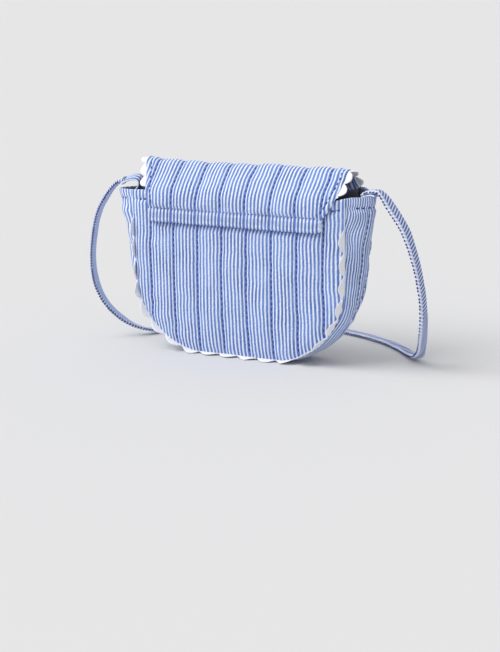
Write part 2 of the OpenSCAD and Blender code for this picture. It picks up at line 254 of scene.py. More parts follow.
# ---- materials ----
class Nodes:
    """A short way to write a material's node tree."""

    def __init__(self, name, roughness, sheen=0.0, metallic=0.0):
        self.material = bpy.data.materials.new(name)
        self.material.use_nodes = True
        self.tree = self.material.node_tree
        self.shader = self.tree.nodes["Principled BSDF"]
        for socket, value in (("Roughness", roughness), ("Metallic", metallic), ("Sheen Weight", sheen),
                              ("Sheen Roughness", 0.5), ("Specular IOR Level", 0.5 if metallic else 0.2)):
            self.shader.inputs[socket].default_value = value

    def node(self, kind):
        return self.tree.nodes.new("ShaderNode" + kind)

    def put(self, socket, value):
        if isinstance(value, bpy.types.NodeSocket):
            self.tree.links.new(value, socket)
        elif value is not None:
            socket.default_value = value

    def fill(self, node, *values, **named):
        """Put the values in the node's inputs, in their order or by name, and give its first output."""
        for socket, value in zip(node.inputs, values):
            self.put(socket, value)
        for name, value in named.items():
            self.put(node.inputs[name], value)
        return node.outputs[0]

    def math(self, operation, *values):
        n = self.node("Math")
        n.operation = operation
        return self.fill(n, *values)

    def times(self, a, b):
        return self.math("MULTIPLY", a, b)

    def plus(self, a, b):
        return self.math("ADD", a, b)

    def wave(self, value, length):
        return self.math("SINE", self.times(value, 2 * math.pi / length))

    def from_middle(self, value, period):
        """How far the value is from the middle of its period, as a share of the period: 0 to 0.5."""
        share = self.math("FRACT", self.math("DIVIDE", value, period))
        return self.math("ABSOLUTE", self.plus(share, -0.5))

    def ramp(self, value, low, high, to_low=0.0, to_high=1.0):
        n = self.node("MapRange")
        n.interpolation_type = "SMOOTHSTEP"
        return self.fill(n, value, low, high, to_low, to_high)

    def mix(self, factor, a, b):
        n = self.node("Mix")
        n.data_type = "RGBA"
        self.put(n.inputs[0], factor)
        self.put(n.inputs[6], a)
        self.put(n.inputs[7], b)
        return n.outputs[2]

    def noise(self, vector, scale, detail=2.0, rough=0.5):
        return self.fill(self.node("TexNoise"), Vector=vector, Scale=scale, Detail=detail, Roughness=rough)

    def cloth(self):
        """Make the cloth's own u and v, in millimetres."""
        uv_map = self.node("UVMap")
        uv_map.uv_map = "cloth"
        parts = self.node("SeparateXYZ")
        self.put(parts.inputs[0], uv_map.outputs[0])
        self.u, self.v = (self.times(out, 1 / MM) for out in parts.outputs[:2])

    def grain(self, along_u, along_v, seed=0.0, detail=2.0, rough=0.5):
        """Noise over the cloth, with so many features to a millimetre along u and v."""
        place = (self.times(self.u, along_u), self.times(self.v, along_v), seed)
        return self.noise(self.fill(self.node("CombineXYZ"), *place), 1.0, detail, rough)

    def weave(self, pitch):
        return self.times(self.wave(self.u, pitch), self.wave(self.v, pitch))

    def bumps(self, *layers):
        """Bump maps on top of each other, each (height, distance, strength)."""
        normal = None
        for height, distance, strength in layers:
            normal = self.fill(self.node("Bump"), Strength=strength, Distance=distance, Height=height,
                               Normal=normal)
        self.put(self.shader.inputs["Normal"], normal)

    def colour(self, value):
        self.put(self.shader.inputs["Base Color"], value)


def rgb(r, g, b):
    """A colour given as it looks on a screen, 0 to 255."""
    return tuple(((v / 255 + 0.055) / 1.055) ** 2.4 for v in (r, g, b)) + (1.0,)


def striped_cloth(name, quilted, seed):
    """Blue and white seersucker: u runs across the stripes and v along them."""
    g = Nodes(name, roughness=0.88, sheen=0.12)
    g.cloth()
    wobble = g.grain(0.3, 0.35, seed, 3.0)
    ragged = g.grain(1.0, 2.4, seed + 3)
    edge = g.plus(g.times(g.plus(wobble, -0.5), 0.45), g.times(g.plus(ragged, -0.5), 0.25))
    blue = g.ramp(g.from_middle(g.plus(g.u, edge), STRIPE), 0.315, 0.235)
    yarn = g.grain(4.0, 0.7, seed + 5, 3.0, 0.7)
    patch = g.grain(0.06, 0.05, seed + 9)
    tone = g.plus(g.times(yarn, 0.8), g.times(patch, 0.5))
    blue_tone = g.mix(g.ramp(tone, 0.4, 0.9), rgb(70, 95, 167), rgb(132, 160, 229))
    white_tone = g.mix(g.ramp(yarn, 0.3, 0.75), rgb(220, 234, 255), rgb(241, 249, 255))
    colour = g.mix(blue, white_tone, blue_tone)
    if quilted:
        # painted shade: along each quilted line the cloth is darkened to a mid blue, standing for the shade
        # in the stitched-down valley
        to_line = g.times(g.from_middle(g.plus(g.u, g.times(edge, 0.6)), QUILT), QUILT)
        line = g.ramp(to_line, 1.45, 1.0)
        colour = g.mix(g.times(line, 0.9), colour, g.mix(yarn, rgb(84, 110, 186), rgb(118, 145, 214)))
    g.colour(colour)
    crinkle = g.grain(0.42, 0.55, seed + 11, 3.0, 0.6)
    pucker = g.times(g.plus(crinkle, -0.5), g.ramp(blue, 0.0, 1.0, 1.3, 0.7))
    g.bumps((g.weave(0.42), 0.00005, 0.6), (yarn, 0.00012, 0.6), (pucker, 0.0016, 0.75))
    return g.material


def strap_cloth(name):
    """The strap: u runs along it and v across. On its rolled edge each blue stripe shows as a dark dot: its
    own blue with painted shade where it turns round the edge.
    """
    g = Nodes(name, roughness=0.85, sheen=0.12)
    g.cloth()
    yarn = g.grain(3.0, 1.2, 31, 3.0, 0.7)
    patch = g.grain(0.05, 0.2, 35)
    calm = g.ramp(g.u, 300, 150)  # 1 on the strap's first leg, where its face is nearly plain
    edge = g.ramp(g.v, 1.7, 2.3)  # 1 on its rolled edge
    slant = g.plus(g.u, g.times(g.v, g.math("MULTIPLY_ADD", edge, -0.75, 0.75)))
    blue = g.ramp(g.from_middle(g.plus(slant, g.times(yarn, 0.3)), STRIPE), 0.33, 0.2)
    strength = g.times(g.math("MULTIPLY_ADD", patch, 0.3, 0.8), g.math("MULTIPLY_ADD", calm, -0.75, 1.0))
    striped_ground = g.mix(yarn, rgb(186, 202, 240), rgb(220, 230, 250))
    calm_ground = g.mix(yarn, rgb(170, 190, 232), rgb(198, 214, 246))
    ground = g.mix(calm, striped_ground, calm_ground)
    face = g.mix(g.times(blue, strength), ground, g.mix(yarn, rgb(56, 72, 138), rgb(88, 106, 172)))
    # painted shade: on the rolled edge the blue stripes turn into dark navy dots, strongest on the first leg
    shaded_dots = g.times(blue, g.math("MULTIPLY_ADD", calm, 0.65, 0.3))
    roll = g.mix(calm, rgb(232, 238, 253), rgb(226, 234, 252))
    rolled = g.mix(shaded_dots, roll, g.mix(yarn, rgb(50, 62, 130), rgb(80, 98, 168)))
    g.colour(g.mix(edge, face, rolled))
    g.bumps((yarn, 0.00015, 0.6), (g.grain(0.5, 0.6, 0, 3.0), 0.0012, 0.6))
    return g.material


def plain_cloth(name, dark, light):
    g = Nodes(name, roughness=0.9, sheen=0.1)
    g.cloth()
    g.colour(g.mix(g.ramp(g.grain(2.2, 2.2, 0, 4.0, 0.7), 0.3, 0.7), dark, light))
    g.bumps((g.weave(0.5), 0.00008, 0.7), (g.grain(0.22, 0.22, 0, 3.0), 0.0006, 0.7))
    return g.material


def braid(name):
    """White ric-rac: ribs that follow the tape."""
    g = Nodes(name, roughness=0.8, sheen=0.15)
    g.cloth()
    grain = g.grain(1.4, 1.4, 0, 3.0, 0.6)
    g.colour(g.mix(grain, rgb(240, 241, 247), rgb(255, 255, 255)))
    g.bumps((g.wave(g.plus(g.v, g.times(g.u, 0.5)), 0.8), 0.00012, 0.7), (grain, 0.0003, 0.6))
    return g.material


def thread(name, dark, light):
    g = Nodes(name, roughness=0.7, sheen=0.1)
    g.cloth()
    twist = g.wave(g.plus(g.u, g.v), 0.7)
    g.colour(g.mix(g.ramp(twist, -0.6, 0.8), dark, light))
    g.bumps((twist, 0.0001, 0.6))
    return g.material


def nickel(name):
    g = Nodes(name, roughness=0.28, metallic=1.0)
    scratch = g.noise(g.node("TexCoord").outputs["Object"], 900.0, 4.0, 0.7)
    g.colour(g.mix(scratch, rgb(196, 199, 205), rgb(226, 228, 232)))
    g.bumps((scratch, 0.00004, 0.35))
    return g.material


QUILTED = striped_cloth("quilted_stripe", True, 1)
GUSSET_CLOTH = striped_cloth("gusset_stripe", False, 21)
STRIPED = striped_cloth("plain_stripe", False, 2)
STRAP_CLOTH = strap_cloth("strap_stripe")
FACING = striped_cloth("facing_stripe", True, 4)
LINING = plain_cloth("charcoal_lining", rgb(98, 99, 116), rgb(124, 125, 142))
BRAID = braid("white_ricrac")
THREAD = thread("blue_thread", rgb(36, 50, 116), rgb(66, 88, 160))
NICKEL = nickel("nickel")


# ---- the strap ----
STRAP_ROUTE = [
    (110, 2, 125.5), (114, 2, 123.2), (118, 2, 119.6), (122, 2, 115), (126.5, 2, 109), (130.5, 2, 102.5),
    (134.5, 2, 92), (137.5, 2, 78), (139.3, 1.5, 65), (139, 1, 52), (136.5, 0, 39.5), (130.5, -2, 27),
    (121.5, -6, 16.5), (111.5, -13, 8), (102, -23, 3), (93, -36, 1.6), (83, -51, 1.6), (71, -66, 1.6),
    (55, -80, 1.6), (35, -90, 1.6), (12, -95, 1.6), (-12, -95, 1.6), (-36, -91, 1.6), (-60, -83, 1.6),
    (-83, -71, 1.6), (-103, -56, 1.6), (-119, -39, 2), (-130.5, -24, 5.5), (-138, -12, 14),
    (-142.5, -4, 26.5), (-144.6, 0, 40), (-144.2, 1, 54), (-142, 1.5, 68), (-139, 2, 81),
    (-134, 2, 93.5), (-127, 2, 105.5), (-119, 2, 116.6), (-115, 2, 121.6), (-110, 2, 125.5)]
# the end at +X starts under its tab, and the one at -X goes on over the rim, on top of its tab
STRAP_HEAD = [(105.0, 2, 126.4)]
STRAP_TAIL = [(-105.6, 2, 125.4), (-101, 2, 124.5), (-97.5, 2.5, 122.6)]
STRAP_W = 7.6
STRAP_T = 2.6


def settle(p):
    """How the standing bag has settled: its rim at -X is pulled up, the one at +X has dropped and spread."""
    p = np.array(p, float)
    x, z = p[..., 0], p[..., 2]
    high = np.clip((z - 60) / 64, 0, 1) ** 2
    side = np.clip((np.abs(x) - 62) / 46, 0, 1) ** 2
    front = smooth((-p[..., 1] - 3) / 8) * smooth((-x - 30) / 35)
    lift = np.where(x < 0, 3.0 * smooth((-x - 78) / 18), -2.2 * side) + 5.0 * front
    p[..., 2] = z + lift * high
    p[..., 0] = x + np.where(x < 0, 0.0, 2.4) * side * high
    return p


def lift_ends(p):
    """The strap is pulled up with the rim, most of all at -X."""
    p = np.array(p, float)
    high = np.clip((p[..., 2] - 60) / 64, 0, 1) ** 2
    p[..., 2] += np.where(p[..., 0] < 0, 5.0, 1.5) * high
    p[..., 0] -= np.where(p[..., 0] < 0, 1.4, 0.0) * bell(p[..., 2] - 106, 12)
    return p


def spline(points, per_leg, lead):
    """A smooth line through the points, which sets out and ends in the direction of lead."""
    p = np.array(points, float)
    p = np.concatenate([[p[0] - lead], p, [p[-1] + lead]])
    out = []
    for i in range(1, len(p) - 2):
        for k in range(per_leg):
            t = k / per_leg
            a, b, c, d = p[i - 1:i + 3]
            out.append(0.5 * (2 * b + (c - a) * t + (2 * a - 5 * b + 4 * c - d) * t ** 2
                              + (3 * b - a - 3 * c + d) * t ** 3))
    return np.array(out + [p[-2]])


def even(points, step):
    """The line again, with points so far apart, and how far along it each one is."""
    d = run_length(points)
    at = np.linspace(0, d[-1], int(round(d[-1] / step)) + 1)
    return np.stack([np.interp(at, d, points[:, k]) for k in range(3)], -1), at


strap_line = lift_ends(spline(STRAP_HEAD + STRAP_ROUTE + STRAP_TAIL, 12, np.array([5.0, 0, -2.0])))
strap_line, strap_at = even(strap_line, 0.75)
strap_t = unit(np.gradient(strap_line, axis=0))
# its width lies level on the floor, and along Y where it hangs
floor_share = np.clip((14 - strap_line[:, 2]) / 10, 0, 1)[:, None]
flat = unit(np.stack([strap_t[:, 1], -strap_t[:, 0], 0 * strap_t[:, 0]], -1))
flat = flat * np.where(flat[:, 1:2] < 0, -1, 1)
level = unit(np.array([[0.0, 1.0, 0.0]]) * (1 - floor_share) + flat * floor_share)
strap_side = unit(level - (level * strap_t).sum(1, keepdims=True) * strap_t)
strap_up = np.cross(strap_t, strap_side)
# the leg at -X turns its face outward, most of all over the rim
to_end = np.minimum(strap_at, strap_at[-1] - strap_at)
over_rim = 1 - smooth((to_end - 30) / 55)
turn = np.where(strap_line[:, 0] > 0, 0.0, np.radians(-18 - 17 * over_rim)) * smooth((to_end - 8) / 20)
turn = turn * (1 - floor_share[:, 0]) + np.radians(5) * noise(strap_at / 34, 0, 3) * smooth(to_end / 30)
cos, sin = np.cos(turn)[:, None], np.sin(turn)[:, None]
strap_side, strap_up = strap_side * cos + strap_up * sin, strap_up * cos - strap_side * sin
at = strap_at[:, None]
across, rise = soft_strip(STRAP_W, STRAP_T).T
ripple = 0.10 * np.cos(2 * math.pi * at / STRIPE) + 0.10 * noise(at / 5.0, across / 3, 6)
creased = 1 - 0.30 * bell(across - 1.7, 0.6) - 0.12 * bell(across + 1.0, 1.6)
wide = across * (1 + 0.05 * noise(at / 9.0, 0, 8))
high = rise * creased * (1 + ripple)
rings = strap_line[:, None] + strap_side[:, None] * wide[..., None] + strap_up[:, None] * high[..., None]
# the cloth's stripes lie closer together on the first leg, where the strap was cut on the cross
first_leg = 1 - smooth((strap_at - 150) / 60)
strap_u = np.concatenate([[0], np.cumsum(STRIPE / (2.7 - 0.4 * first_leg[1:]) * np.diff(strap_at))])
strap_uv = np.stack(np.broadcast_arrays(strap_u[:, None], across), -1)
strap = tube("strap_band", rings, strap_uv, [STRAP_CLOTH])
# the rolled edge is closed with short dark stitches, one to each blue stripe; they also stand for painted
# shade where the stripes turn round the edge
edge_runs = []
for u in np.arange(STRIPE / 2 + 2 * STRIPE, strap_u[-1] - 3, STRIPE):
    i = int(np.searchsorted(strap_u, u))
    out, rise = strap_side[i], strap_up[i]
    heights = np.linspace(-0.6, 0.6, 5) * (1.0 + 0.9 * first_leg[i])
    tick = strap_line[i] + rise * heights[:, None] + out * (STRAP_W / 2 - 0.2 - 0.14 * heights[:, None] ** 2)
    edge_runs.append((tick, facing(out, 5)))
strap_edge = stitches("strap_edge_stitches_and_shade_dots", edge_runs, THREAD, length=1.1, radius=0.72, gap=0.05)
for piece in (strap, strap_edge):
    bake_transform(piece)
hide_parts("strap")


# ---- the half-moon outline ----
# lengths along the seam: a straight side, a corner, and from rim to rim
RISE = RIM_Z - CORNER_R
TURN = math.pi / 2 * CORNER_R
PATH = 2 * (RISE + TURN) + 2 * CORNER_X


def outline(s):
    """Points and outward directions, in x and z, so far along the seam from the rim at -X to that at +X."""
    s = np.asarray(s, float)
    half = np.where(s <= PATH / 2, s, PATH - s)
    a = np.clip((half - RISE) / CORNER_R, 0, math.pi / 2)
    x = -CORNER_X - CORNER_R * np.cos(a) + np.clip(half - RISE - TURN, 0, None)
    z = np.where(half < RISE, RIM_Z - half, CORNER_R - CORNER_R * np.sin(a))
    flip = np.where(s <= PATH / 2, 1, -1)
    return x * flip, z, -np.cos(a) * flip, -np.sin(a)


def seam_place(x, z):
    """Distance inward from the seam, and the distance along it, for points of a panel."""
    qx, qz = np.abs(x) - CORNER_X, CORNER_R - z
    corner = CORNER_R - np.hypot(np.maximum(qx, 0), np.maximum(qz, 0))
    inset = np.where(qz <= 0, HALF_W - np.abs(x), np.where(qx <= 0, z, corner))
    angle = np.arctan2(np.maximum(qz, 1e-6), np.maximum(qx, 1e-6))
    low = np.where(qx <= 0, RISE + TURN + CORNER_X - np.abs(x), RISE + angle * CORNER_R)
    along = np.where(qz <= 0, RIM_Z - z, low)
    return np.maximum(inset, 0), np.where(x > 0, PATH - along, along)


def hem_edge(inset, width=1.1, least=0.01):
    """The share of the cloth's thickness that is left, so far in from its rounded edge."""
    return np.sqrt(np.clip(1 - (1 - np.clip(inset / width, 0, 1)) ** 2, least, 1))


def quilting(x, z, seed):
    """Height of the quilted cloth above its stitched-down lines, about 0 to 1.6 mm."""
    d = np.abs((x / QUILT) % 1 - 0.5) * QUILT
    line = np.floor(x / QUILT)
    puff = 1 - (1 - np.clip(d / 8.5, 0, 1)) ** 2.4
    ridges = noise(z / 2.6, line, seed) * 0.6 + noise(z / 5.5, line + 0.37 * d / 5, seed + 1) * 0.6
    return 1.35 * puff - 0.55 * bell(d, 0.9) + 0.34 * ridges * np.exp(-d / 3.4) * (1 - bell(d, 0.9))


SNAP_FLAT = 7.5  # the cloth lies flat so far round the snap


def panel_height(x, z, seed, flat_at=None, pressed=False):
    """Height of a panel's outer face over its lining, and how far its stripes wander, in millimetres."""
    inset, along = seam_place(x, z)
    top = RIM_Z - z
    body = smooth((top - HEM + 0.6) / 3.0)
    edge = 1 - np.exp(-(inset / 4.6) ** 1.3)
    height = 0.6 + (WALL - 0.9) * edge
    pull = noise(along / 3.1, 0, seed + 2) * 0.55 + noise(along / 6.5, inset / 9, seed + 3) * 0.7
    height += 0.55 * pull * np.exp(-inset / 8.0) * smooth(inset / 2.0)
    height += 0.82 * edge * body * quilting(x, z, seed)
    height += 0.55 * fbm(x / 26, z / 24, seed + 4) * smooth(inset / 8)
    height += 2.4 * smooth(inset / 45) * smooth(1.1 - np.abs(z - 55) / 75)
    # the hem: two layers without wadding, stitched down
    hem = 1.7 + 0.35 * np.sin(math.pi * np.clip(top / HEM, 0, 1)) - 0.6 * bell(top - HEM_STITCH, 0.8)
    hem = (hem + 0.22 * noise(x / 2.2, z / 7, seed + 5)) * hem_edge(top)
    height = height * body + hem * (0.35 + 0.65 * edge) * (1 - body)
    if pressed:  # the flap's folded band lies on it here
        under = smooth((z - 95) / 5) * smooth((118 - z) / 4) * smooth((78 - np.abs(x)) / 4)
        height = height * (1 - under) + 2.3 * under
    if flat_at is not None:
        near = smooth((np.hypot(x - flat_at[0], z - flat_at[1]) - SNAP_FLAT) / 6)
        height = height * near + (WALL - 0.1) * (1 - near)
    gathered = noise(along / 8, inset / 14, seed + 7) * np.exp(-inset / 13)
    return height, (0.38 * fbm(x / 20, z / 15, seed + 6, 2) + 0.9 * gathered) * smooth(inset / 4)


def even_share(count):
    """From -1 to 1, a little closer together towards the sides."""
    share = np.linspace(-1, 1, count)
    return np.sign(share) * (1 - (1 - np.abs(share)) ** 1.12)


def panel_grid():
    """Points all over a half-moon panel in x and z, row by row from its rim down."""
    rise = np.linspace(RIM_Z, CORNER_R, 58)
    top = np.array([RIM_Z, RIM_Z - 0.15, RIM_Z - 0.4, RIM_Z - 0.7])
    rise = np.concatenate([top, rise[1:]])
    bend = CORNER_R - CORNER_R * np.sin(np.linspace(0, math.pi / 2, 92)[1:])
    z = np.concatenate([rise, bend])
    half = CORNER_X + np.sqrt(np.clip(CORNER_R ** 2 - np.clip(CORNER_R - z, 0, None) ** 2, 0, None))
    x = half[:, None] * even_share(193)[None, :]
    return x, np.repeat(z[:, None], x.shape[1], 1)


def panel(name, side, seed, flat_at=None):
    x, z = panel_grid()
    height, wander = panel_height(x, z, seed, flat_at, side > 0)
    y = BODY_Y + side * (SEAM_Y + height)
    outer = settle(np.stack([x + wander, y, z], -1))
    inner = settle(np.stack([x, np.full_like(x, BODY_Y + side * SEAM_Y), z], -1))
    return closed_sheet(name, outer, inner, np.stack([x, z], -1), [QUILTED])


def panel_stitches(name, side, seed, flat_at=None):
    """A run of stitches down each quilted line, and one along the hem."""
    lines = []
    for x in QUILT_LINES:
        past = max(0, abs(x) - CORNER_X)
        z = np.arange(RIM_Z - HEM - 1, CORNER_R - math.sqrt(CORNER_R ** 2 - past ** 2) + 2, -0.5)
        lines.append((np.full_like(z, x), z))
    x = np.arange(-HALF_W + 2, HALF_W - 2, 0.5)
    lines.append((x, np.full_like(x, RIM_Z - HEM_STITCH)))
    runs = []
    for x, z in lines:
        height, wander = panel_height(x, z, seed, flat_at, side > 0)
        p = settle(np.stack([x + wander, BODY_Y + side * (SEAM_Y + height), z], -1))
        runs.append((p, facing((0.0, side, 0.0), len(p))))
    return stitches(name, runs, THREAD, seed=seed)


SNAP = (0.0, (box_mm("snap_socket")[0][2] + box_mm("snap_socket")[1][2]) / 2)
back = panel("back_panel_cloth", 1, 100)
front = panel("front_panel_cloth", -1, 200, SNAP)
back_thread = panel_stitches("back_panel_stitches", 1, 100)
front_thread = panel_stitches("front_panel_stitches", -1, 200, SNAP)
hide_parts("back_panel", "back_wadding")
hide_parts("front_panel", "front_wadding")


# ---- the gusset ----
GUSSET_BOW = 18.0  # at the rim
GUSSET_T = 2.6
GUSSET_HALF = SEAM_Y - 0.2
GUSSET_SEED = 300
gusset_s = np.concatenate([[0, 0.15, 0.4, 0.7], np.linspace(1.2, PATH - 1.2, 340),
                           [PATH - 0.7, PATH - 0.4, PATH - 0.15, PATH]])


def gusset_line(s):
    """Where the gusset's quilted lines lie across it; they run together at the bottom."""
    return 4.6 * smooth((outline(s)[1] - 15) / 60), 0.8 * noise(s / 13, 0, GUSSET_SEED)


def gusset_bow(z):
    """How far the middle of the gusset stands out past its seams."""
    return GUSSET_BOW * (np.maximum(z, 0) / RIM_Z) ** 1.3


def gusset_point(s, w, under=0.0):
    """Points of the gusset's outer face, or of a smooth one so far under it, at s along and w across it."""
    seed = GUSSET_SEED
    x, z, nx, nz = outline(s)
    share = w / GUSSET_HALF
    inset = GUSSET_HALF - np.abs(w)
    bow = gusset_bow(z) * (1 - share ** 2)
    top = np.minimum(s, PATH - s)
    body = smooth((top - HEM + 0.6) / 3.0)
    loose = smooth(1 - np.abs(top - 20) / 90) + 0.35
    line, bend = gusset_line(s)
    puff = 0.9 * (1 - np.exp(-(inset / 2.4) ** 1.2)) + 0.9 * np.sin(math.pi * np.clip(np.abs(w) / 11, 0, 1))
    puff = puff - 1.0 * np.maximum(bell(w - line + bend, 1.1), bell(w + line + bend, 1.1))
    folds = 0.75 * noise(s / 4.2, w / 7, seed + 1) * np.exp(-inset / 7)
    folds = folds + 0.8 * noise(s / 12, w / 6, seed + 2) * loose
    hem = 0.25 + 0.3 * np.sin(math.pi * np.clip(top / HEM, 0, 1)) - 0.6 * bell(top - HEM_STITCH, 0.8)
    hem = hem + 0.3 * noise(w / 2.0, s / 6, seed + 3)
    relief = (puff + folds * smooth(inset / 2)) * body + hem * (1 - body)
    wander = 1.3 * noise(s / 8.5, w / 9, seed + 4) + 0.8 * noise(s / 17, w / 14, seed + 5)
    wander = wander * loose * smooth(inset / 4)
    if under:
        relief, wander = 0 * relief, 0 * wander
    off = relief + bow - 0.2 - under
    return np.stack([x + nx * off, BODY_Y + w + wander * body, z + nz * off], -1), nx, nz, share


s_grid, w_grid = np.meshgrid(gusset_s, np.linspace(-GUSSET_HALF, GUSSET_HALF, 37), indexing="ij")
outer = gusset_point(s_grid, w_grid)[0]
inner = gusset_point(s_grid, w_grid, GUSSET_T)[0]
# the rim closes to a rounded fold
to_rim = np.minimum(gusset_s, PATH - gusset_s)[:, None, None]
thick = (outer - inner) * (0.62 + 0.38 * smooth((to_rim - HEM + 0.6) / 3.0))
middle = outer - thick / 2
outer = middle + thick / 2 * hem_edge(to_rim, least=0.02)
inner = middle - thick / 2 * hem_edge(to_rim, least=0.02)
outer[..., 2] = np.maximum(outer[..., 2], 0.1)
# its stripes are measured across the bowed cloth, from one of its quilted lines
across = np.linalg.norm(np.diff(gusset_point(s_grid, w_grid, 0.001)[0], axis=1), axis=2)
arc = np.concatenate([np.zeros((len(gusset_s), 1)), np.cumsum(across, axis=1)], 1)
line, bend = gusset_line(gusset_s)
at_line = np.array([np.interp(line[i] - bend[i], w_grid[i], arc[i]) for i in range(len(gusset_s))])
line_x, line_z = outline(gusset_s)[:2]
# they lie closer together where the cloth is gathered, which is at -X
side = smooth((20 - line_x) / 40)
gathered = 1 + side * (0.15 + 0.6 * smooth(line_z / 70)) - (1 - side) * 0.12 * smooth(line_z / 70)
gusset_uv = np.stack([(arc - at_line[:, None]) * gathered[:, None] + QUILT / 2, s_grid], -1)
gusset = closed_sheet("gusset_cloth", settle(outer), settle(inner), gusset_uv, [GUSSET_CLOTH])
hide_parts("gusset", "gusset_wadding")

gusset_runs = []
run_s = np.arange(HEM + 2, PATH - HEM - 2, 0.5)
line, bend = gusset_line(run_s)
for sign in (1, -1):
    kept = np.nonzero(line > (1.0 if sign < 0 else -1.0))[0]  # one line where the two run together
    for part in np.split(kept, np.nonzero(np.diff(kept) > 1)[0] + 1):
        p, nx, nz, share = gusset_point(run_s[part], sign * line[part] - bend[part])
        tilt = 2 * gusset_bow(p[..., 2]) * share / GUSSET_HALF
        gusset_runs.append((settle(p), unit(np.stack([nx, tilt, nz], -1))))
for end in (HEM_STITCH, PATH - HEM_STITCH):
    run_w = np.arange(-GUSSET_HALF + 1.5, GUSSET_HALF - 1.5, 0.4)
    p, nx, nz = gusset_point(np.full_like(run_w, end), run_w)[:3]
    gusset_runs.append((settle(p), np.stack([nx, 0 * nx, nz], -1)))
gusset_thread = stitches("gusset_stitches", gusset_runs, THREAD, seed=9)


# ---- lining ----
x, z = panel_grid()
x, z = x[::3, ::3], z[::3, ::3]
z = np.minimum(z, RIM_Z - 0.8)
for name, side, node in (("back_lining_cloth", 1, "back_lining"), ("front_lining_cloth", -1, "front_lining")):
    crease = 0.35 * fbm(x / 16, z / 16, 41 + side)
    near = settle(np.stack([x * 0.995, BODY_Y + side * (SEAM_Y - 0.1 + 0 * x), z], -1))
    far = settle(np.stack([x * 0.995, BODY_Y + side * (SEAM_Y - 0.75) + crease * 0.6 - side * 0.3, z], -1))
    piece = closed_sheet(name, near, far, np.stack([x, z], -1), [LINING])
    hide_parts(node)
    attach(piece, "bag")
s_lin, w_lin = np.meshgrid(np.linspace(0.8, PATH - 0.8, 160),
                           np.linspace(-GUSSET_HALF + 0.8, GUSSET_HALF - 0.8, 19), indexing="ij")
near = gusset_point(s_lin, w_lin, GUSSET_T + 0.15)[0]
far = gusset_point(s_lin, w_lin, GUSSET_T + 0.8)[0]
lining_uv = np.stack([w_lin, s_lin], -1)
lining = closed_sheet("gusset_lining_cloth", settle(near), settle(far), lining_uv, [LINING])
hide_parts("gusset_lining")
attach(lining, "bag")


# ---- scalloped trim ----
TAPE_T = 0.8
TRIM_TOP = 103.0  # height at which it ends on both sides


def scallop(s, pitch, height=4.9, fullness=1.0):
    return 0.3 + height * np.abs(np.sin(math.pi * s / pitch)) ** fullness


def ribbon(base, reach, normal, length, along):
    """A scalloped tape: base points, outward directions, face normals and how far it stands out."""
    share = np.linspace(0, 1, 7)
    p = base[:, None] + reach[:, None] * (length[:, None] * share[None])[..., None]
    flutter = 0.35 * noise(along / 5, 0, 51)[:, None] * share[None] ** 2
    body = TAPE_T / 2 * np.sqrt(np.clip(1 - share ** 6, 0.08, 1))
    outer = p + normal[:, None] * (flutter + body[None])[..., None]
    inner = p + normal[:, None] * (flutter - body[None])[..., None]
    uv = np.stack([np.repeat(along[:, None], 7, 1), length[:, None] * share[None]], -1)
    return outer, inner, uv


count = math.floor((PATH - 2 * (RIM_Z - TRIM_TOP)) / SCALLOP)
first = (PATH - count * SCALLOP) / 2
trim_s = np.arange(first, PATH - first + 0.01, 0.5)
tx, tz, tnx, tnz = outline(trim_s)
for name, side, node in (("back_ricrac", 1, "back_trim"), ("front_ricrac", -1, "front_trim")):
    down = np.clip(-tnz, 0, 1) ** 4
    if side > 0:  # it stands back over the panel at -X and turns outward low down at +X
        lean = np.where(tx > 0, 0.65 * smooth((52 - tz) / 14) - 0.15, -0.5) + 0.2 * noise(trim_s / 14, 0, 71)
    else:
        lean = 0.25 + 0.2 * noise(trim_s / 14, 0, 72)
    lean = lean * (1 - down)
    base = np.stack([tx - tnx * 0.6, np.full_like(tx, BODY_Y + side * (SEAM_Y + 0.1)),
                     np.maximum(tz - tnz * 0.6, 0.6 + 0.9 * down)], -1)
    reach = unit(np.stack([tnx * lean, side * np.ones_like(tx), tnz * lean - 0.18 * down], -1))
    normal = unit(np.stack([tnx, -side * lean, tnz], -1))
    outer, inner, uv = ribbon(base, reach, normal, 0.6 + scallop(trim_s - first, SCALLOP), trim_s)
    outer[..., 2] = np.maximum(outer[..., 2], 0.05)
    inner[..., 2] = np.maximum(inner[..., 2], 0.45)
    piece = closed_sheet(name, settle(outer), settle(inner), uv, [BRAID])
    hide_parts(node)
    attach(piece, "bag")


# ---- the flap ----
FLAP_HALF_T = 1.7  # half its thickness
ARCH_R = -box_mm("flap_front_shell")[0][1] - FLAP_HALF_T  # radius of its arch over the mouth
ARCH_Z = box_mm("flap_top_shell")[1][2] - ARCH_R - FLAP_HALF_T  # centre of the arch
ROOT_Z = 110.2  # its seam on the back
ROOT_HALF = 73.0  # half its width at the seam
FLAP_HALF = 87.0  # and over the mouth
FLAP_R = CORNER_R - 4  # radius of its lower corners
FLAP_LOW = 38.0  # height of its lower edge
# distances from its seam, along the cloth: to the ridge, the straight front, the lower edge, the corners
RIDGE_T = ARCH_Z - ROOT_Z + math.pi * ARCH_R / 2
FRONT_T = ARCH_Z - ROOT_Z + math.pi * ARCH_R
FLAP_T = FRONT_T + ARCH_Z - FLAP_LOW
CORNER_T = FLAP_T - FLAP_R
EDGE_STITCH = 4.6  # its edge's stitches, from the edge


def flap_half(t, x, inset=0.0):
    """How far the flap, or a line inside it, reaches to the side of x at t. It spreads sooner at -X."""
    soon = ROOT_HALF + (FLAP_HALF - ROOT_HALF) * (1 - np.exp(-np.clip(t, 0, None) / 13.0))
    late = ROOT_HALF + 1.0 + (FLAP_HALF - ROOT_HALF - 1.0) * smooth(t / 58.0)
    radius = FLAP_R - inset
    drop = np.clip(t - CORNER_T, 0, radius)
    rounding = radius - np.sqrt(np.clip(radius ** 2 - drop ** 2, 0, None))
    return np.where(np.asarray(x) < 0, soon, late) - inset - rounding


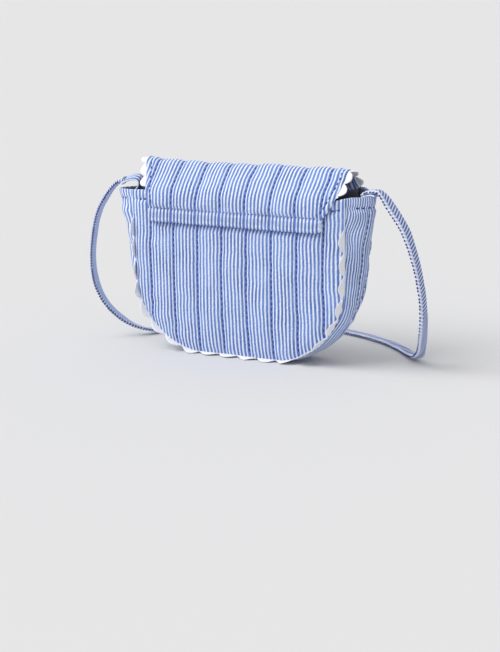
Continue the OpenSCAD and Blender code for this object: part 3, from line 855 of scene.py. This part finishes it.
# the flap leans from the band up to a ridge and down again, in y and z
profile = spline([(0, 20.9, ROOT_Z), (0, 20.7, 116), (0, 19.9, 121.5), (0, 17.6, 126.6), (0, 13.2, 131.6),
                  (0, 8.2, 136.8), (0, 3.6, 141.3), (0, 0.2, 143.3), (0, -3.2, 142.9), (0, -7.2, 139.6),
                  (0, -11.6, 135.0), (0, -16.0, 130.2), (0, -19.2, 126.6), (0, -ARCH_R, ARCH_Z),
                  (0, -ARCH_R, ARCH_Z - 3)], 8, np.array([0, 0, 0.0]))
profile, profile_t = even(profile[:-8], 0.4)
profile_t = profile_t * FRONT_T / profile_t[-1]
profile_n = unit(np.gradient(profile, axis=0))


def flap_side(t):
    """Middle of the flap's cloth at t, and its outward direction, in y and z."""
    y, z = (np.interp(t, profile_t, profile[:, k]) for k in (1, 2))
    ny, nz = np.interp(t, profile_t, profile_n[:, 2]), -np.interp(t, profile_t, profile_n[:, 1])
    over = t > FRONT_T
    return y, z - np.clip(t - FRONT_T, 0, None), np.where(over, -1.0, ny), np.where(over, 0.0, nz)


def flap_inset(x, t):
    """Distance from the flap's side and lower edges."""
    straight = (flap_half(np.minimum(t, CORNER_T), x) - np.abs(x)) * 0.96
    qx, qz = np.abs(x) - (FLAP_HALF - FLAP_R), t - CORNER_T
    corner = FLAP_R - np.hypot(np.maximum(qx, 0), np.maximum(qz, 0))
    return np.maximum(np.where(qz <= 0, straight, np.where(qx <= 0, FLAP_T - t, corner)), 0)


def flap_point(x, t, face):
    """Points of the flap: face is 1 for the outer face, -1 for the facing and 0 for its middle."""
    seed = 400
    y, z, ny, nz = flap_side(t)
    inset = flap_inset(x, t)
    body = smooth((inset - 4.0) / 3.0)
    root = smooth(t / 5.0)
    hem = 0.95 + 0.35 * np.sin(math.pi * np.clip(inset / 4.4, 0, 1)) - 0.55 * bell(inset - EDGE_STITCH, 0.8)
    hem = hem + 0.2 * noise(t / 2.4, x / 6, seed + 9)
    quilt = FLAP_HALF_T - 0.9 + quilting(x, t, seed) * (0.75 if face > 0 else 0.45)
    height = (hem * (1 - body) + quilt * body) * hem_edge(inset, 1.2, 0.02) * (0.45 + 0.55 * root)
    wave = 0.8 * fbm(x / 30, t / 26, seed + 1) * root
    off = face * height + wave + 0.45 * noise(t / 5, x / 30, seed + 2) * np.exp(-inset / 8)
    near = smooth((np.hypot(x - SNAP[0], FLAP_T - t + FLAP_LOW - SNAP[1]) - SNAP_FLAT) / 6)
    off = np.where(t > FRONT_T - 4, off * near + face * (FLAP_HALF_T - 0.1) * (1 - near), off)
    gathered = noise(t / 9, inset / 9, seed + 4) * np.exp(-inset / 12)
    wander = 0.5 * fbm(x / 22, t / 16, seed + 3, 2) + 0.5 * gathered
    # the ridge's corner at +X stands up a little
    corner = (1.8 * bell(x - 84, 8.0) + 0.5 * noise(x / 24, 0, seed + 6)) * bell(t - RIDGE_T, 16.0)
    return np.stack([x + wander * smooth(inset / 4) * root, y + ny * off - 0.2 * (1 - smooth(t / 9.0)),
                     z + nz * off + corner], -1)


def flap_normal(t):
    ny, nz = flap_side(t)[2:]
    return np.stack([0 * ny, ny, nz], -1)


straight_t = np.concatenate([[0, 0.4, 0.9], np.linspace(1.6, CORNER_T, 98)])
bend_t = CORNER_T + FLAP_R * np.sin(np.linspace(0, math.pi / 2, 86)[1:])
flap_t = np.concatenate([straight_t, bend_t])
# over the ridge its top half goes over into its front half
share = even_share(187)
fx = flap_half(flap_t[:, None], share[None]) * share[None]
ft = np.repeat(flap_t[:, None], fx.shape[1], 1)
flap = closed_sheet("flap_cloth", flap_point(fx, ft, 1), flap_point(fx, ft, -1), np.stack([fx, ft], -1),
                    [QUILTED, FACING], 1)
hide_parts("flap_top_shell", "flap_top_wadding", "flap_top_facing",
            "flap_front_shell", "flap_front_wadding", "flap_front_facing")


def round_flap(start, inset):
    """A line so far inside the flap's edge, from its root at +X round its lower edge to its root at -X."""
    corner = CORNER_T + (FLAP_R - inset) * np.sin(np.arange(0, math.pi / 2, 0.5 / FLAP_R))
    t = np.concatenate([np.arange(start, CORNER_T, 0.5), corner])
    low_x = np.arange(FLAP_HALF - FLAP_R, -(FLAP_HALF - FLAP_R), -0.5)
    # its sides spread, so that a line inside them lies a little further in
    slant = np.where(t <= CORNER_T, 0.02 * inset, 0)
    at_plus, at_minus = (flap_half(t, side, inset) - slant for side in (1, -1))
    x = np.concatenate([at_plus, low_x, -at_minus[::-1]])
    return x, np.concatenate([t, np.full_like(low_x, FLAP_T - inset), t[::-1]])


edge_x, edge_t = round_flap(13, 0)
edge = flap_point(edge_x, edge_t, 0)
drop = np.clip((edge_t - CORNER_T) / FLAP_R, 0, 1)
normal = flap_normal(edge_t)
reach = unit(np.cross(unit(np.gradient(edge, axis=0)), normal))
outward = np.stack([np.sign(edge_x) * (1 - drop), 0 * drop, -drop - 0.05], -1)
reach = reach * np.where((reach * outward).sum(1, keepdims=True) < 0, -1, 1)
along = run_length(edge)
pitch = along[-1] / round(along[-1] / FLAP_SCALLOP)
FOLDED_IN = 4.5  # close to its root the tape is folded in under the flap
shown = smooth((np.minimum(along, along[-1] - along) - FOLDED_IN) / 2)
stand_out = 0.8 + scallop(along - 4.4, pitch, 4.6, 0.65) * shown
outer, inner, uv = ribbon(edge - reach * 0.8, reach, normal, stand_out, along)
flap_trim = closed_sheet("flap_ricrac", outer, inner, uv, [BRAID])
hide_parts("flap_top_trim", "flap_front_trim")

# quilting and edge stitching
runs = []
for x in QUILT_LINES:
    t = np.arange(3, FLAP_T - 5, 0.5)
    t = t[flap_half(t, x) - abs(x) > 6]  # clear of the edge
    runs.append((flap_point(np.full_like(t, x), t, 1), flap_normal(t)))
x, t = round_flap(3, EDGE_STITCH)
runs.append((flap_point(x, t, 1), flap_normal(t)))
flap_thread = stitches("flap_stitches", runs, THREAD, seed=12)
for piece, slot in ((flap, "striped_cloth"), (flap_trim, "scallop_trim"), (flap_thread, "striped_cloth")):
    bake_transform(piece)


# ---- the folded band that sews the flap to the back ----
BAND_LOW = 100.0
BAND_TOP = ROOT_Z + 1.5
BAND_HALF = 73.3  # half its length
BAND_DEPTH = 4.7
BAND_BASE = BACK_Y + WALL  # face of the back, where it lies
band_x = np.concatenate([[-73.2, -73.0, -72.6, -71.8], np.arange(-71, 71.01, 0.5), [71.8, 72.6, 73.0, 73.2]])
bx = band_x[:, None]
to_side = BAND_HALF - np.abs(bx)
ripple = np.cos(2 * math.pi * bx / STRIPE)
puff = BAND_DEPTH * (0.86 + 0.07 * ripple + 0.10 * noise(bx / 9, 0, 61))
corner = 2.2 * (1 - smooth(to_side / 3.5))
low = BAND_LOW + 0.4 * noise(bx / 18, 0, 62) + 0.4 * ripple + corner
high = BAND_TOP - corner * 0.2
angle = 2 * math.pi * (np.arange(24) + 0.5) / 24
c, s = np.cos(angle), np.sin(angle)
bz = (low + high) / 2 + np.copysign(np.abs(s) ** 0.5, s) * (high - low) / 2
depth = puff * (1.12 - 0.36 * (bz - low) / (high - low)) * hem_edge(to_side, 1.6, 0.03)
by = BAND_BASE - 1.9 + (depth + 1.9) * (0.5 + 0.5 * np.copysign(np.abs(c) ** 0.6, c))
rings = np.stack(np.broadcast_arrays(bx, by, bz), -1)
uv = np.stack(np.broadcast_arrays(np.clip(bx, -72.0, 72.0), 0.6 * np.arange(24)), -1)
band = tube("flap_band", rings, uv, [QUILTED])
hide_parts("flap_hem")
bx = np.arange(-71.5, 71.5, 0.5)
seam = np.stack([bx, np.full_like(bx, BAND_BASE + 3.45), np.full_like(bx, BAND_TOP - 0.5)], -1)
runs = [(seam, facing((0.0, 0.9, 0.43), len(bx)))]
top_thread = stitches("flap_band_top_stitches", runs, THREAD, seed=14, length=0.8, gap=2.2, radius=0.3)
# painted shade: a dark thread dot under its lower fold at every blue stripe stands for the shadow under the
# fold
runs = []
for bx in np.arange(-70.5, 71, STRIPE):
    dot = np.array([(bx + d, BAND_BASE + 4.15, BAND_LOW + 0.45) for d in (-0.55, -0.25, 0, 0.25, 0.55)])
    runs.append((dot, facing((0.0, 0.8, -0.6), 5)))
band_shadow_dots = stitches("flap_band_shadow_dots", runs, THREAD, seed=14, length=0.85, gap=0.15, radius=0.42)


# ---- strap tabs ----
TAB_W = 8.4
TAB_T = 2.0
# the one at +X goes up and over the strap, and the one at -X goes under it
TAB_UP = [(100.6, 2, 112), (96.5, 2, 117.5), (92.8, 2, 122.5), (91.2, 2, 127), (93.2, 2, 130.2),
          (97.6, 2, 130.6), (102.5, 2, 129.2), (107.6, 2, 127.2)]
TAB_UNDER = [(-100.8, 2, 112), (-99.8, 2, 117), (-97.8, 2, 121.5), (-96.9, 2, 124.2), (-98.4, 2, 126.3),
             (-101.5, 2, 127.3), (-105.6, 2, 128.1), (-108.5, 2, 127.7)]
for name, sign, node in (("strap_tab_loop_left", -1, "strap_tab_left"),
                         ("strap_tab_loop_right", 1, "strap_tab_right")):
    line, at = even(spline(TAB_UNDER if sign < 0 else TAB_UP, 10, np.array([0.0, 0, 3.0])), 0.6)
    t = unit(np.gradient(line, axis=0))
    # the one at +X twists towards the strap, and its end is thick enough to hold it
    tilt = math.radians(24) * smooth((at - 14) / 6)[:, None] * (sign > 0)
    side = np.cos(tilt) * np.array([[0.0, 1.0, 0.0]]) - np.sin(tilt) * np.array([[0.0, 0.0, 1.0]])
    side = unit(side - (side * t).sum(1, keepdims=True) * t)
    lift = np.cross(t, side)
    wrap = 1 + 0.8 * smooth((at - at[-1] + 5) / 4)[:, None, None] * (sign > 0)
    sec = soft_strip(TAB_W, TAB_T)
    rings = line[:, None] + side[:, None] * sec[None, :, :1] + lift[:, None] * sec[None, :, 1:] * wrap
    uv = np.stack(np.broadcast_arrays(sec[:, 0] + STRIPE / 2, at[:, None]), -1)
    tab = tube(name, rings, uv, [STRIPED])
    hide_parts(node)
    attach(tab, "bag")
    # a bar of stitches across the end, through tab and strap
    bar = []
    for shift in (1.0, 3.2):
        i = int(np.argmin(np.abs(at - (at[-1] - shift))))
        out = lift[i] * (1 if lift[i][2] > 0 else -1)
        pts = line[i] + side[i] * np.linspace(-3.4, 3.4, 9)[:, None] + out * float(wrap[i, 0, 0])
        bar.append((pts, facing(out, 9)))
    bar = stitches(name + "_bar", bar, THREAD, length=1.3, radius=0.34, gap=0.5)
    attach(bar, "bag")

for piece in (back, front, gusset, back_thread, front_thread, gusset_thread, band, band_shadow_dots, top_thread):
    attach(piece, "bag")
# the band, its dots and its top stitches get meshes of their own
for piece in (band, band_shadow_dots, top_thread):
    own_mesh(piece)

# ---- the snap keeps its CAD shape ----
for node in ("snap_socket", "snap_socket_washer", "snap_stud", "snap_stud_washer"):
    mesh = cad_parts[node].data
    mesh.materials.clear()
    mesh.materials.append(NICKEL)

# ---- floor and light ----
FLOOR = 12.0  # half the floor's width, in metres
FLOOR_DROP = 0.0003
FLOOR_GREY = (0.655, 0.655, 0.658, 1)
WHITE_LIGHT = (0.99, 0.99, 1.0, 1)
WORLD_STRENGTH = 0.685
WALL_STRENGTH = 0.795  # behind the floor's far edge the wall is as bright as the lit floor
SUN_STRENGTH = 2.34
SUN_SPREAD = math.radians(50)
SUN_FROM = (0.62, 0.46, 0.78)
floor_mesh = bpy.data.meshes.new("floor")
floor_mesh.from_pydata([(-FLOOR, -FLOOR, 0), (FLOOR, -FLOOR, 0), (FLOOR, FLOOR, 0), (-FLOOR, FLOOR, 0)],
                       [], [(0, 1, 2, 3)])
floor = bpy.data.objects.new("floor", floor_mesh)
floor.location.z = -FLOOR_DROP
bpy.context.scene.collection.objects.link(floor)
paper = Nodes("floor_paper", roughness=0.9)
paper.colour(FLOOR_GREY)
floor_mesh.materials.append(paper.material)

world = bpy.data.worlds.new("studio")
bpy.context.scene.world = world
world.use_nodes = True
light_tree = world.node_tree
light_nodes = light_tree.nodes
wall = light_nodes.new("ShaderNodeBackground")
for background, strength in ((light_nodes["Background"], WORLD_STRENGTH), (wall, WALL_STRENGTH)):
    background.inputs[0].default_value = WHITE_LIGHT
    background.inputs[1].default_value = strength
rays = light_nodes.new("ShaderNodeLightPath")
either = light_nodes.new("ShaderNodeMixShader")
world_light = light_nodes["Background"].outputs[0]
for socket, out in enumerate((rays.outputs["Is Camera Ray"], world_light, wall.outputs[0])):
    light_tree.links.new(out, either.inputs[socket])
light_tree.links.new(either.outputs[0], light_nodes["World Output"].inputs[0])
sun_data = bpy.data.lights.new("key", "SUN")
sun_data.energy = SUN_STRENGTH
sun_data.angle = SUN_SPREAD
sun = bpy.data.objects.new("key", sun_data)
sun.rotation_euler = Vector(SUN_FROM).to_track_quat("Z", "Y").to_euler()
bpy.context.scene.collection.objects.link(sun)
